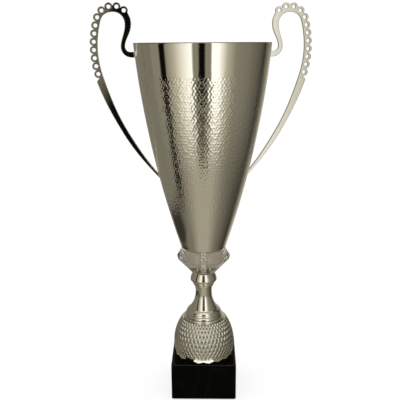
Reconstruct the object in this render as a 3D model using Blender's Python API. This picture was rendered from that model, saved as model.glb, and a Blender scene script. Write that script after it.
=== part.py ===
# Cup trophy: a hammered two-handled cup on a clear collar, a studded dome foot and a marble block.
# Metres, +Z up. The origin is under the middle of the block, X runs across the front, -Y is the front.

import math

import bmesh
import bpy
from mathutils import Matrix, Vector

# Gaps that every fit uses
GAP = 0.0003
ROD_PLAY = 0.0004
STUD_PLAY = 0.0004

# Marble block and the felt under it
BASE_SIDE = 0.079
BASE_HEIGHT = 0.046
BASE_CHAMFER = 0.0006
FELT_INSET = 0.002
FELT_THICKNESS = 0.001

# Threaded rod with its nuts and washers
ROD_RADIUS = 0.003
ROD_PROUD = 0.002
ROD_NUT_FLATS = 0.010
ROD_NUT_HEIGHT = 0.005
BASE_WASHER_RADIUS = 0.009
CUP_WASHER_RADIUS = 0.012
ROD_WASHER_THICKNESS = 0.0016
POCKET_PLAY = 0.002

# Dome foot
FOOT_MARGIN = 0.0028
FOOT_SKIRT_HEIGHT = 0.015
FOOT_CROWN_HEIGHT = 0.0344
FOOT_SHOULDER_RADIUS = 0.0237
FOOT_WALL = 0.0025
FOOT_HUB_WALL = 0.003
HEM_TEETH = 16
HEM_NOTCH = 0.0025

# Neck
NECK_LIP_HEIGHT = 0.0057
NECK_LIP_TAPER = 0.0024
NECK_FLARE_HEIGHT = 0.0262
NECK_FLARE_POWER = 2.4
NECK_WAIST_RADIUS = 0.0101
NECK_HEAD_HEIGHT = 0.0088
NECK_HEAD_RADIUS = 0.0121

# Knop
KNOP_CONE_HEIGHT = 0.0037
KNOP_BEAD_RADIUS = 0.0160
KNOP_BEAD_HEIGHT = 0.0072
KNOP_SEAT_RADIUS = 0.0140
KNOP_SEAT_HEIGHT = 0.0050

# Clear collar and the sleeve inside it
COLLAR_OVERHANG = 0.0006
COLLAR_CONE_HEIGHT = 0.0188
COLLAR_GIRDLE_RADIUS = 0.0323
COLLAR_GIRDLE_HEIGHT = 0.0032
COLLAR_CROWN_HEIGHT = 0.0093
SLEEVE_WALL = 0.0014

# Cup
CUP_HEIGHT = 0.241
CUP_MOUTH_RADIUS = 0.078
CUP_BOTTOM_RADIUS = 0.0265
CUP_BULGE = 0.0070
CUP_WALL = 0.0012
CUP_CORNER_RADIUS = 0.0025
RIM_BEAD_RADIUS = 0.0013
RIM_BEAD_NECK = 0.0013
RIM_BEAD_OPENING = math.radians(35.0)
CUP_TURN = math.radians(7.0)

# Handles, measured from the rim of the cup
HANDLE_THICKNESS = 0.004
HOOK_DROP = 0.0123
HOOK_REACH = 0.0111
HOOK_RADIUS = 0.0085
HANDLE_REACH = 0.0431
SIDE_DROP = 0.0051
SIDE_RADIUS = 0.108
ARCH_RADIUS = 0.0184
ARCH_ANGLE = math.radians(17.0)
TAIL_DROP = 0.1508
RING_COUNT = 12
RING_PITCH = 0.0088
RING_RADIUS = 0.00455
RING_WALL = 0.00185
FIRST_RING_ANGLE = math.radians(130.7)
SHOULDER_GAP = 0.0033
SWAN_PULL = 0.4
HANDLE_SINK = 0.0036

# Half widths of the handle's band, from its centre line to its inner or outer edge
HOOK_HALF_WIDTH = 0.0033
HOOK_HALF_SLIM = 0.0024
SWAN_OUTER_WIDTH = 0.0012
ARCH_INNER_WIDTH = 0.0060
ARCH_OUTER_WIDTH = 0.0022
SIDE_LAND = 0.0016
TAIL_HALF_WIDTH = 0.0043
TAIL_HALF_MIDDLE = 0.0029
TAIL_HALF_TIP = 0.0014

# Studs cast on the handles, with their nuts and washers
STUD_RADIUS = 0.0015
STUD_EMBED = 0.002
STUD_PROUD = 0.001
LOWER_STUD_RISE = 0.0025
STUD_NUT_FLATS = 0.0055
STUD_NUT_HEIGHT = 0.0024
STUD_WASHER_RADIUS = 0.0035
STUD_WASHER_THICKNESS = 0.0005

# Facets round the turned pieces and along their curves, and steps along the handle's outline
CUP_FACETS = 48
CUP_STEPS = 12
STEM_FACETS = 32
FACETS_PER_TOOTH = 4
CURVE_STEPS = 8
SMALL_FACETS = 18
HOLE_FACETS = 14
RING_STEPS = 6
OUTLINE_STEP = 0.003
SHARP_ANGLE = math.radians(35.0)

# Heights of the stack, from the shelf upwards
BASE_BOTTOM = FELT_THICKNESS + GAP
BASE_TOP = BASE_BOTTOM + BASE_HEIGHT
FOOT_BOTTOM = BASE_TOP + GAP
CROWN_BOTTOM = FOOT_BOTTOM + FOOT_SKIRT_HEIGHT
FOOT_TOP = CROWN_BOTTOM + FOOT_CROWN_HEIGHT
NECK_BOTTOM = FOOT_TOP + GAP
NECK_LIP_TOP = NECK_BOTTOM + NECK_LIP_HEIGHT
NECK_WAIST = NECK_LIP_TOP + NECK_FLARE_HEIGHT
NECK_TOP = NECK_WAIST + NECK_HEAD_HEIGHT
KNOP_BOTTOM = NECK_TOP + GAP
KNOP_TOP = KNOP_BOTTOM + KNOP_CONE_HEIGHT + KNOP_BEAD_HEIGHT + KNOP_SEAT_HEIGHT
COLLAR_BOTTOM = KNOP_TOP + GAP
COLLAR_TOP = COLLAR_BOTTOM + COLLAR_CONE_HEIGHT + COLLAR_GIRDLE_HEIGHT + COLLAR_CROWN_HEIGHT
CUP_BOTTOM = COLLAR_TOP + GAP
CUP_FLOOR = CUP_BOTTOM + CUP_WALL
CUP_TOP = CUP_BOTTOM + CUP_HEIGHT
CUP_WASHER_BOTTOM = CUP_FLOOR + GAP
CUP_NUT_BOTTOM = CUP_WASHER_BOTTOM + ROD_WASHER_THICKNESS + GAP
ROD_TOP = CUP_NUT_BOTTOM + ROD_NUT_HEIGHT + ROD_PROUD
POCKET_DEPTH = ROD_WASHER_THICKNESS + ROD_NUT_HEIGHT + ROD_PROUD + 3 * GAP
POCKET_TOP = BASE_BOTTOM + POCKET_DEPTH
BASE_WASHER_BOTTOM = POCKET_TOP - GAP - ROD_WASHER_THICKNESS
BASE_NUT_BOTTOM = BASE_WASHER_BOTTOM - GAP - ROD_NUT_HEIGHT
ROD_BOTTOM = BASE_NUT_BOTTOM - ROD_PROUD

# Radii that follow from the sizes above
ROD_BORE = ROD_RADIUS + ROD_PLAY
SLEEVE_RADIUS = ROD_BORE + SLEEVE_WALL
FOOT_RADIUS = BASE_SIDE / 2 - FOOT_MARGIN
RING_HOLE_RADIUS = RING_RADIUS - RING_WALL


def finish(name, colour, roughness, metallic, transmission=0.0):
    """A Principled material with the piece's own colour and gloss."""
    material = bpy.data.materials.new(name)
    material.use_nodes = True
    shader = material.node_tree.nodes["Principled BSDF"]
    shader.inputs["Base Color"].default_value = (*colour, 1.0)
    shader.inputs["Roughness"].default_value = roughness
    shader.inputs["Metallic"].default_value = metallic
    shader.inputs["Transmission Weight"].default_value = transmission
    return material


def add_object(name, shape, material, parent=None):
    """Turn a bmesh into a smooth shaded object in the scene."""
    bmesh.ops.recalc_face_normals(shape, faces=shape.faces)
    mesh = bpy.data.meshes.new(name)
    shape.to_mesh(mesh)
    shape.free()
    mesh.shade_smooth()
    mesh.set_sharp_from_angle(angle=SHARP_ANGLE)
    mesh.materials.append(material)
    item = bpy.data.objects.new(name, mesh)
    item.parent = parent
    bpy.context.collection.objects.link(item)
    return item


def as_cutter(item):
    """A helper solid that shapes other pieces and isn't a piece itself."""
    item.hide_render = True
    item.display_type = "WIRE"
    return item


def shape_with(item, helper, operation):
    """Cut a piece with a helper solid, or join the helper to it."""
    step = item.modifiers.new(helper.name, "BOOLEAN")
    step.operation = operation
    step.solver = "EXACT"
    step.object = helper


def arc_points(centre, radius, start, end, count):
    """Points on an arc between two angles, both ends included."""
    angles = [start + (end - start) * i / count for i in range(count + 1)]
    return [(centre[0] + radius * math.cos(a), centre[1] + radius * math.sin(a)) for a in angles]


def turned(profile, facets):
    """Spin a closed outline of (radius, height) points about Z."""
    shape = bmesh.new()
    corners = [shape.verts.new((radius, 0.0, height)) for radius, height in profile]
    sides = [shape.edges.new((corners[i - 1], corners[i])) for i in range(len(corners))]
    bmesh.ops.spin(shape, geom=corners + sides, cent=(0, 0, 0), axis=(0, 0, 1),
                   angle=2 * math.pi, steps=facets, use_merge=True)
    bmesh.ops.remove_doubles(shape, verts=shape.verts, dist=GAP / 100)
    return shape


def cylinder(radius, bottom, top, facets):
    """An upright cylinder between two heights."""
    shape = bmesh.new()
    middle = Matrix.Translation((0, 0, (bottom + top) / 2))
    bmesh.ops.create_cone(shape, cap_ends=True, segments=facets, radius1=radius, radius2=radius,
                          depth=top - bottom, matrix=middle)
    return shape


def washer(outer, bore, bottom, thickness):
    """A flat ring."""
    top = bottom + thickness
    return turned([(outer, top), (outer, bottom), (bore, bottom), (bore, top)], SMALL_FACETS)


def nut(flats, bore, bottom, height):
    """A six sided nut with a round bore."""
    shape = washer(flats / 2, bore, bottom, height)
    for vert in shape.verts:
        radius = vert.co.xy.length
        if radius > (flats / 2 + bore) / 2:
            angle = math.atan2(vert.co.y, vert.co.x) % (math.pi / 3)
            stretch = flats / 2 / math.cos(angle - math.pi / 6) / radius
            vert.co.x *= stretch
            vert.co.y *= stretch
    return shape


def block(side, bottom, top):
    """A square block between two heights."""
    shape = bmesh.new()
    size = Matrix.Diagonal((side, side, top - bottom, 1.0))
    bmesh.ops.create_cube(shape, size=1.0, matrix=Matrix.Translation((0, 0, (bottom + top) / 2)) @ size)
    return shape


def make_base():
    """Marble block with a rod hole and a nut pocket, and the felt glued under it."""
    marble = finish("black_marble", (0.012, 0.012, 0.013), 0.12, 0.0)
    shape = block(BASE_SIDE, BASE_BOTTOM, BASE_TOP)
    bmesh.ops.bevel(shape, geom=shape.edges, offset=BASE_CHAMFER, segments=1, affect="EDGES")
    base = add_object("marble_base", shape, marble)
    pocket_radius = BASE_WASHER_RADIUS + POCKET_PLAY
    drill = [(ROD_BORE, BASE_TOP + BASE_HEIGHT), (ROD_BORE, POCKET_TOP), (pocket_radius, POCKET_TOP),
             (pocket_radius, BASE_BOTTOM - BASE_HEIGHT), (0.0, BASE_BOTTOM - BASE_HEIGHT),
             (0.0, BASE_TOP + BASE_HEIGHT)]
    cutter = as_cutter(add_object("base_drill", turned(drill, SMALL_FACETS), marble))
    shape_with(base, cutter, "DIFFERENCE")
    felt = finish("black_felt", (0.02, 0.02, 0.02), 0.95, 0.0)
    add_object("felt_pad", block(BASE_SIDE - 2 * FELT_INSET, 0.0, FELT_THICKNESS), felt)


def make_rod():
    """Threaded rod that clamps the stack, with a nut and washer at each end."""
    steel = finish("zinc_steel", (0.55, 0.56, 0.57), 0.35, 1.0)
    add_object("tie_rod", cylinder(ROD_RADIUS, ROD_BOTTOM, ROD_TOP, SMALL_FACETS), steel)
    ends = (("base", BASE_WASHER_RADIUS, BASE_WASHER_BOTTOM, BASE_NUT_BOTTOM),
            ("cup", CUP_WASHER_RADIUS, CUP_WASHER_BOTTOM, CUP_NUT_BOTTOM))
    for place, radius, washer_bottom, nut_bottom in ends:
        add_object(place + "_washer", washer(radius, ROD_BORE, washer_bottom, ROD_WASHER_THICKNESS), steel)
        add_object(place + "_nut", nut(ROD_NUT_FLATS, ROD_BORE, nut_bottom, ROD_NUT_HEIGHT), steel)


def make_foot(silver):
    """Domed shell with a hub for the rod and a zigzag hem."""
    overhang = FOOT_RADIUS - FOOT_SHOULDER_RADIUS
    crown = (FOOT_CROWN_HEIGHT ** 2 + overhang ** 2) / (2 * overhang)
    centre = (FOOT_RADIUS - crown, CROWN_BOTTOM)
    shoulder = math.asin(FOOT_CROWN_HEIGHT / crown)
    ceiling = FOOT_TOP - FOOT_WALL
    lining = crown - FOOT_WALL
    lining_top = math.asin((ceiling - CROWN_BOTTOM) / lining)
    hub = ROD_BORE + FOOT_HUB_WALL
    hem_line = FOOT_BOTTOM + 2 * HEM_NOTCH
    outer = arc_points(centre, crown, shoulder, 0.0, CURVE_STEPS)
    inner = arc_points(centre, lining, 0.0, lining_top, CURVE_STEPS // 2)
    profile = outer + [(FOOT_RADIUS, hem_line), (FOOT_RADIUS, FOOT_BOTTOM)]
    profile += [(FOOT_RADIUS - FOOT_WALL, FOOT_BOTTOM), (FOOT_RADIUS - FOOT_WALL, hem_line)]
    profile += inner + [(hub, ceiling), (hub, FOOT_BOTTOM), (ROD_BORE, FOOT_BOTTOM), (ROD_BORE, FOOT_TOP)]
    shape = turned(profile, HEM_TEETH * FACETS_PER_TOOTH)
    for vert in shape.verts:
        on_hem = vert.co.z < FOOT_BOTTOM + GAP and vert.co.xy.length > FOOT_RADIUS - FOOT_WALL - GAP
        if on_hem:
            turn = math.atan2(vert.co.y, vert.co.x) / (2 * math.pi) * HEM_TEETH
            vert.co.z += HEM_NOTCH * 2.0 * abs(turn - math.floor(turn) - 0.5)
    add_object("dome_foot", shape, silver)


def make_neck(silver):
    """Neck that flares as a power curve from its waist down to a lip."""
    lip = FOOT_SHOULDER_RADIUS - NECK_LIP_TAPER
    profile = []
    head_steps = CURVE_STEPS // 2
    for i in range(head_steps):
        rise = 1.0 - i / head_steps
        profile.append((NECK_WAIST_RADIUS + (NECK_HEAD_RADIUS - NECK_WAIST_RADIUS) * rise ** 2,
                        NECK_WAIST + NECK_HEAD_HEIGHT * rise))
    for i in range(CURVE_STEPS + 1):
        fall = i / CURVE_STEPS
        profile.append((NECK_WAIST_RADIUS + (lip - NECK_WAIST_RADIUS) * fall ** NECK_FLARE_POWER,
                        NECK_WAIST - NECK_FLARE_HEIGHT * fall))
    profile += [(FOOT_SHOULDER_RADIUS, NECK_BOTTOM), (ROD_BORE, NECK_BOTTOM), (ROD_BORE, NECK_TOP)]
    add_object("stem_neck", turned(profile, STEM_FACETS), silver)


def make_knop(silver):
    """Bead with a seat for the clear collar."""
    bead_bottom = KNOP_BOTTOM + KNOP_CONE_HEIGHT
    middle = bead_bottom + KNOP_BEAD_HEIGHT / 2
    bulge = KNOP_BEAD_RADIUS - KNOP_SEAT_RADIUS
    profile = [(KNOP_SEAT_RADIUS, KNOP_TOP)]
    for i in range(CURVE_STEPS + 1):
        angle = math.pi * (0.5 - i / CURVE_STEPS)
        profile.append((KNOP_SEAT_RADIUS + bulge * math.cos(angle),
                        middle + KNOP_BEAD_HEIGHT / 2 * math.sin(angle)))
    profile += [(NECK_HEAD_RADIUS, KNOP_BOTTOM), (ROD_BORE, KNOP_BOTTOM), (ROD_BORE, KNOP_TOP)]
    add_object("stem_knop", turned(profile, STEM_FACETS), silver)


def make_collar(silver):
    """Clear collar with a cone, a round girdle and a crown, and the sleeve in its bore."""
    clear = finish("clear_acrylic", (0.95, 0.93, 0.92), 0.03, 0.0, 1.0)
    girdle_bottom = COLLAR_BOTTOM + COLLAR_CONE_HEIGHT
    girdle_top = girdle_bottom + COLLAR_GIRDLE_HEIGHT
    bore = SLEEVE_RADIUS + GAP
    foot = KNOP_SEAT_RADIUS + COLLAR_OVERHANG
    profile = [(CUP_BOTTOM_RADIUS, COLLAR_TOP), (COLLAR_GIRDLE_RADIUS, girdle_top),
               (COLLAR_GIRDLE_RADIUS, girdle_bottom), (foot, COLLAR_BOTTOM),
               (bore, COLLAR_BOTTOM), (bore, COLLAR_TOP)]
    add_object("crystal_collar", turned(profile, STEM_FACETS), clear)
    height = COLLAR_TOP - COLLAR_BOTTOM
    add_object("collar_sleeve", washer(SLEEVE_RADIUS, ROD_BORE, COLLAR_BOTTOM, height), silver)


def cup_radius(height):
    """Outside radius of the cup's wall: a straight cone with a parabolic bulge."""
    share = (height - CUP_BOTTOM) / CUP_HEIGHT
    straight = CUP_BOTTOM_RADIUS + (CUP_MOUTH_RADIUS - CUP_BOTTOM_RADIUS) * share
    return straight + 4 * CUP_BULGE * share * (1.0 - share)


def cup_slope(height):
    """How fast the wall's radius grows with height."""
    share = (height - CUP_BOTTOM) / CUP_HEIGHT
    return (CUP_MOUTH_RADIUS - CUP_BOTTOM_RADIUS + 4 * CUP_BULGE * (1.0 - 2.0 * share)) / CUP_HEIGHT


def wall_line(offset, bottom, top):
    """Points down the wall from top to bottom, set out from it by an offset."""
    heights = [top + (bottom - top) * i / CUP_STEPS for i in range(CUP_STEPS + 1)]
    return [(cup_radius(height) + offset, height) for height in heights]


def make_cup(turn, nickel):
    """Thin spun cup with a rolled rim, and the envelope that shapes the handles' ends."""
    corner_top = CUP_BOTTOM + CUP_CORNER_RADIUS
    bead_centre = (CUP_MOUTH_RADIUS - RIM_BEAD_RADIUS, CUP_TOP - RIM_BEAD_RADIUS)
    bead_start = math.pi + RIM_BEAD_OPENING
    bead = arc_points(bead_centre, RIM_BEAD_RADIUS, bead_start, -RIM_BEAD_OPENING, CURVE_STEPS)
    wall_top = CUP_TOP - 2 * RIM_BEAD_RADIUS - RIM_BEAD_NECK
    outer = wall_line(0.0, corner_top, wall_top)
    inner = wall_line(-CUP_WALL, corner_top + CUP_WALL, wall_top)
    flat = cup_radius(corner_top) - CUP_CORNER_RADIUS
    profile = bead + outer + [(flat, CUP_BOTTOM), (ROD_BORE, CUP_BOTTOM), (ROD_BORE, CUP_FLOOR)]
    profile += [(flat, CUP_FLOOR)] + inner[::-1]
    cup = add_object("cup_bowl", turned(profile, CUP_FACETS), nickel, turn)
    outside = [(0.0, CUP_TOP)] + wall_line(GAP, corner_top, CUP_TOP) + [(0.0, corner_top)]
    envelope = as_cutter(add_object("cup_envelope", turned(outside, CUP_FACETS), nickel, turn))
    return cup, envelope


def tail_arc(start, heading, end):
    """Centre and radius of the arc that leaves start along heading and reaches end on its right."""
    right = Vector((heading.y, -heading.x))
    chord = end - start
    radius = chord.length_squared / (2 * chord.dot(right))
    return start + right * radius, radius


def swan_line(low, high):
    """Points and directions along the S from low to high, upright at both ends."""
    pull = Vector((0.0, SWAN_PULL * (high.y - low.y)))
    places = []
    for i in range(1, CURVE_STEPS):
        t = i / CURVE_STEPS
        point = ((1 - t) ** 3 * low + 3 * t * (1 - t) ** 2 * (low + pull)
                 + 3 * t ** 2 * (1 - t) * (high - pull) + t ** 3 * high)
        heading = (1 - t) ** 2 * pull + 2 * t * (1 - t) * (high - low - 2 * pull) + t ** 2 * pull
        places.append((point, heading.normalized()))
    return places


def handle_line():
    """Centre line of the handle, from the hook in the wall to the tail in the wall, and its bead centres.

    Each entry of the line is a point, its direction and the name of its stretch.
    """
    rim = CUP_MOUTH_RADIUS
    hook = Vector((rim + HOOK_REACH - HOOK_RADIUS, CUP_TOP - HOOK_DROP + HOOK_RADIUS))
    side = Vector((rim + HANDLE_REACH - SIDE_RADIUS, CUP_TOP - SIDE_DROP))
    arch = side + (SIDE_RADIUS - ARCH_RADIUS) * Vector((math.cos(ARCH_ANGLE), math.sin(ARCH_ANGLE)))
    line = []

    def add_arc(name, centre, radius, start, end):
        count = max(2, math.ceil(abs(end - start) * radius / OUTLINE_STEP))
        clockwise = end < start
        for i in range(count + 1):
            angle = start + (end - start) * i / count
            out = Vector((math.cos(angle), math.sin(angle)))
            heading = Vector((out.y, -out.x)) if clockwise else Vector((-out.y, out.x))
            line.append((centre + radius * out, heading, name))

    root = Vector((cup_radius(hook.y - HOOK_RADIUS) - HANDLE_SINK, hook.y - HOOK_RADIUS))
    line.append((root, Vector((1.0, 0.0)), "hook"))
    add_arc("hook", hook, HOOK_RADIUS, -math.pi / 2, 0.0)
    low = hook + Vector((HOOK_RADIUS, 0.0))
    high = arch - Vector((ARCH_RADIUS, 0.0))
    line += [(point, heading, "swan") for point, heading in swan_line(low, high)]
    add_arc("arch", arch, ARCH_RADIUS, math.pi, ARCH_ANGLE)
    on_arch = (FIRST_RING_ANGLE - ARCH_ANGLE) * ARCH_RADIUS
    side_end = ARCH_ANGLE - ((RING_COUNT - 0.5) * RING_PITCH - on_arch) / SIDE_RADIUS
    add_arc("side", side, SIDE_RADIUS, ARCH_ANGLE, side_end)
    start, heading = line[-1][0], line[-1][1]
    foot = Vector((cup_radius(CUP_TOP - TAIL_DROP), CUP_TOP - TAIL_DROP))
    centre, radius = tail_arc(start, heading, foot)
    first = math.atan2(start.y - centre.y, start.x - centre.x)
    last = math.atan2(foot.y - centre.y, foot.x - centre.x)
    add_arc("tail", centre, radius, first, last - HANDLE_SINK / radius)
    rings = []
    for i in range(RING_COUNT):
        run = i * RING_PITCH
        if run < on_arch:
            middle, radius, angle = arch, ARCH_RADIUS, FIRST_RING_ANGLE - run / ARCH_RADIUS
        else:
            middle, radius, angle = side, SIDE_RADIUS, ARCH_ANGLE - (run - on_arch) / SIDE_RADIUS
        rings.append(middle + radius * Vector((math.cos(angle), math.sin(angle))))
    return line, rings


def blend(stations, run):
    """Half width at a place along the line, eased between the stations on either side."""
    for (start, first), (end, last) in zip(stations, stations[1:]):
        if run <= end:
            share = max(0.0, (run - start) / (end - start))
            return first + (last - first) * share * share * (3.0 - 2.0 * share)
    return stations[-1][1]


def scallops(rings):
    """Outer edge of the beads: an arc of each ring between its crossings with its neighbours."""
    edge = []
    for i, ring in enumerate(rings):
        arrive = ring - rings[i - 1] if i > 0 else rings[1] - ring
        leave = rings[i + 1] - ring if i + 1 < len(rings) else arrive
        start = math.atan2(-arrive.y, -arrive.x)
        end = math.atan2(leave.y, leave.x)
        if i > 0:
            start -= math.acos(min(1.0, arrive.length / 2 / RING_RADIUS))
        if i + 1 < len(rings):
            end += math.acos(min(1.0, leave.length / 2 / RING_RADIUS))
        sweep = (start - end) % (2 * math.pi)
        edge += [Vector(p) for p in arc_points(ring, RING_RADIUS, start, start - sweep, RING_STEPS)]
    return edge


def handle_outline():
    """Closed outline of the handle's plate, and the centres of its beads."""
    line, rings = handle_line()
    runs = [0.0]
    for (point, _, _), (following, _, _) in zip(line, line[1:]):
        runs.append(runs[-1] + (following - point).length)
    starts = {}
    for run, (_, _, name) in zip(runs, line):
        starts.setdefault(name, run)
    arch_top = starts["arch"] + ARCH_RADIUS * math.pi / 2
    tail_middle = (starts["tail"] + runs[-1]) / 2
    shoulder = FIRST_RING_ANGLE + (RING_RADIUS + SHOULDER_GAP) / ARCH_RADIUS
    shoulder_run = starts["arch"] + (math.pi - shoulder) * ARCH_RADIUS
    side_half = RING_HOLE_RADIUS + SIDE_LAND
    inner = [(0.0, HOOK_HALF_WIDTH), (starts["swan"], HOOK_HALF_SLIM), (starts["arch"], ARCH_INNER_WIDTH),
             (arch_top, ARCH_INNER_WIDTH), (starts["side"], side_half),
             (starts["tail"], TAIL_HALF_WIDTH), (tail_middle, TAIL_HALF_MIDDLE), (runs[-1], TAIL_HALF_TIP)]
    outer = [(0.0, HOOK_HALF_WIDTH), (starts["swan"], HOOK_HALF_SLIM), (starts["arch"], SWAN_OUTER_WIDTH),
             (arch_top, ARCH_OUTER_WIDTH), (starts["side"], side_half),
             (starts["tail"], TAIL_HALF_WIDTH), (tail_middle, TAIL_HALF_MIDDLE), (runs[-1], TAIL_HALF_TIP)]
    inside, before_rings, after_rings = [], [], []
    for run, (point, heading, _) in zip(runs, line):
        left = Vector((-heading.y, heading.x))
        inside.append(point - left * blend(inner, run))
        edge = point + left * blend(outer, run)
        if run < shoulder_run:
            before_rings.append(edge)
        elif run > starts["tail"]:
            after_rings.append(edge)
    return before_rings + scallops(rings) + after_rings + inside[::-1], rings


def handle_plate():
    """Flat plate in the XZ plane with its bead holes, centred on Y."""
    outline, rings = handle_outline()
    shape = bmesh.new()
    loops = [outline]
    for ring in rings:
        hole = arc_points(ring, RING_HOLE_RADIUS, 0.0, 2 * math.pi, HOLE_FACETS)
        loops.append([Vector(point) for point in hole[:-1]])
    for loop in loops:
        corners = [shape.verts.new((point.x, -HANDLE_THICKNESS / 2, point.y)) for point in loop]
        for i in range(len(corners)):
            shape.edges.new((corners[i - 1], corners[i]))
    bmesh.ops.remove_doubles(shape, verts=shape.verts, dist=GAP / 10)
    bmesh.ops.triangle_fill(shape, edges=shape.edges, use_beauty=True)
    grown = bmesh.ops.extrude_face_region(shape, geom=shape.faces[:])
    moved = [item for item in grown["geom"] if isinstance(item, bmesh.types.BMVert)]
    bmesh.ops.translate(shape, verts=moved, vec=(0.0, HANDLE_THICKNESS, 0.0))
    return shape


def stud_frame(height):
    """Frame on the wall at a height: its Z points out of the wall, square to it."""
    slope = cup_slope(height)
    out = Vector((1.0, 0.0, -slope)).normalized()
    turn = out.to_track_quat("Z", "Y").to_matrix().to_4x4()
    return Matrix.Translation((cup_radius(height), 0.0, height)) @ turn


def make_handles(turn, nickel, cup, envelope):
    """Two cast handles, each held by two studs with a washer and a nut inside the cup."""
    steel = finish("small_nut_steel", (0.6, 0.6, 0.6), 0.3, 1.0)
    heights = (("upper", CUP_TOP - HOOK_DROP), ("lower", CUP_TOP - TAIL_DROP + LOWER_STUD_RISE))
    for side, angle in (("right", 0.0), ("left", math.pi)):
        holder = bpy.data.objects.new("handle_side_" + side, None)
        holder.parent = turn
        holder.rotation_euler.z = angle
        bpy.context.collection.objects.link(holder)
        handle = add_object("handle_" + side, handle_plate(), nickel, holder)
        shape_with(handle, envelope, "DIFFERENCE")
        for place, height in heights:
            label = side + "_" + place
            frame = stud_frame(height)
            inside = cup_radius(height) - CUP_WALL
            dish = STUD_WASHER_RADIUS ** 2 / (2 * inside)
            washer_bottom = -CUP_WALL - GAP - dish - STUD_WASHER_THICKNESS
            nut_bottom = washer_bottom - GAP - STUD_NUT_HEIGHT
            bore = STUD_RADIUS + STUD_PLAY
            stud = cylinder(STUD_RADIUS, nut_bottom - STUD_PROUD, STUD_EMBED, HOLE_FACETS)
            drill = cylinder(bore, nut_bottom, STUD_EMBED, HOLE_FACETS)
            ring = washer(STUD_WASHER_RADIUS, bore, washer_bottom, STUD_WASHER_THICKNESS)
            hexagon = nut(STUD_NUT_FLATS, bore, nut_bottom, STUD_NUT_HEIGHT)
            for shape in (stud, drill, ring, hexagon):
                bmesh.ops.transform(shape, matrix=frame, verts=shape.verts)
            shape_with(handle, as_cutter(add_object("stud_" + label, stud, steel, holder)), "UNION")
            shape_with(cup, as_cutter(add_object("drill_" + label, drill, steel, holder)), "DIFFERENCE")
            add_object("handle_washer_" + label, ring, steel, holder)
            add_object("handle_nut_" + label, hexagon, steel, holder)


def main():
    for item in list(bpy.data.objects):
        bpy.data.objects.remove(item)
    silver = finish("plated_plastic", (0.62, 0.60, 0.54), 0.12, 1.0)
    nickel = finish("polished_nickel", (0.60, 0.58, 0.52), 0.15, 1.0)
    make_base()
    make_rod()
    make_foot(silver)
    make_neck(silver)
    make_knop(silver)
    make_collar(silver)
    turn = bpy.data.objects.new("cup_turn", None)
    turn.rotation_euler.z = CUP_TURN
    bpy.context.collection.objects.link(turn)
    cup, envelope = make_cup(turn, nickel)
    make_handles(turn, nickel, cup, envelope)


main()
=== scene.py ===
import math
from contextlib import contextmanager

import bpy
import numpy as np
from bpy.props import FloatProperty, FloatVectorProperty, IntProperty, PointerProperty
from mathutils import Matrix, Vector


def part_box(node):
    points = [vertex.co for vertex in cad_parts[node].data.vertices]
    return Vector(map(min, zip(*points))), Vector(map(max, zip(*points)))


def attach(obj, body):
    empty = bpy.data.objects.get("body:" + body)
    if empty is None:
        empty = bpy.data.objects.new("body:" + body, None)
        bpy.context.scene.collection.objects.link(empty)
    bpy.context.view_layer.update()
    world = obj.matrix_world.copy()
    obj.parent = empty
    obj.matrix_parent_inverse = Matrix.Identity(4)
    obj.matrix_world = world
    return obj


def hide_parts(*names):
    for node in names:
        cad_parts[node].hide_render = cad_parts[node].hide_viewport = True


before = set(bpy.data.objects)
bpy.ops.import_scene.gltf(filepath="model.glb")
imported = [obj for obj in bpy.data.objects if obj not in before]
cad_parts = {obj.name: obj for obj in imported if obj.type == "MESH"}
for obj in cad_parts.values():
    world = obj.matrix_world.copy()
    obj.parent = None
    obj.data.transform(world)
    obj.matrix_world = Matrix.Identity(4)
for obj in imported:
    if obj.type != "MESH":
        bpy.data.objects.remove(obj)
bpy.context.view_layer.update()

bl_info = {
    "name": "Cup Trophy",
    "version": (1, 0, 0),
    "blender": (4, 5, 0),
    "location": "View3D > Sidebar > Trophy",
    "description": "Dresses the trophy: hammered cup, bead handles, clear collar, studded dome, marble block",
    "category": "Object",
}

FULL_TURN = 2.0 * math.pi
FRONT = -math.pi / 2
MERGE_DISTANCE = 0.000005
SEED_SIZE = 0.001
PATTERN_SEED = 7
# Name of the point attribute that holds how much painted shade darkens the dome between its studs
SHADE_ATTRIBUTE = "painted_shade_amount"
# Angles above which an edge stays sharp, on plain pieces, on studs and lumps, and on the collar's facets
SMOOTH_ANGLE = math.radians(40.0)
RELIEF_ANGLE = math.radians(60.0)
FACET_ANGLE = math.radians(12.0)
# Angles above which an edge is rounded, and below which two faces are one
EDGE_ANGLE = math.radians(30.0)
FLAT_ANGLE = math.radians(0.5)
# How much of a normal lies along one axis on the block's flat sides
FLAT_SHARE = 0.99
# Steps of the meshes: round the trophy and up each row of a pattern, and along an outline
MARK_STEPS = 4
MARK_ROW_STEPS = 3
STUD_STEPS = 8
STUD_ROW_STEPS = 6
FACET_STEPS = 4
LUMP_STEPS = 6
FIXING_STEPS = 24
DRUM_STEPS = 128
RIM_STEPS = 6
CORNER_STEPS = 4
ROUND_STEPS = 8
RIB_STEPS = 10
BEAD_STEPS = 12
FLARE_STEPS = 6
PLAIN_ROWS = 5
INSIDE_ROWS = 7
HOLLOW_ROWS = 8
EDGE_STEPS = 2
HANDLE_EDGE_STEPS = 3
# Start and end of the round parts of the outlines, in degrees
RIM_ARC = (215.0, -35.0)
CORNER_ARC = (0.0, -90.0)
RIB_ARC = (80.0, -60.0)
GIRDLE_ARC = (-45.0, 50.0)
# Bands in which the cup's wall is measured, clear of its rim and its bottom
WALL_CLEAR = 0.006
WALL_BAND_EDGES = 12
DOME_SAMPLES = 400
# Where a mark stops rising towards the ridge round it, how full a stud is and how fast the painted shade in
# its recess darkens
MARK_RIDGE = 1.3
STUD_FULLNESS = 0.7
PAINTED_SHADE_FALL = 1.5
# How many of its radii the rim's bead covers of the wall, and a handle's stud goes on into the handle
RIM_COVER = 3.0
STUD_BITE = 3.0
SLEEVE_PLAY = 0.0003
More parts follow.
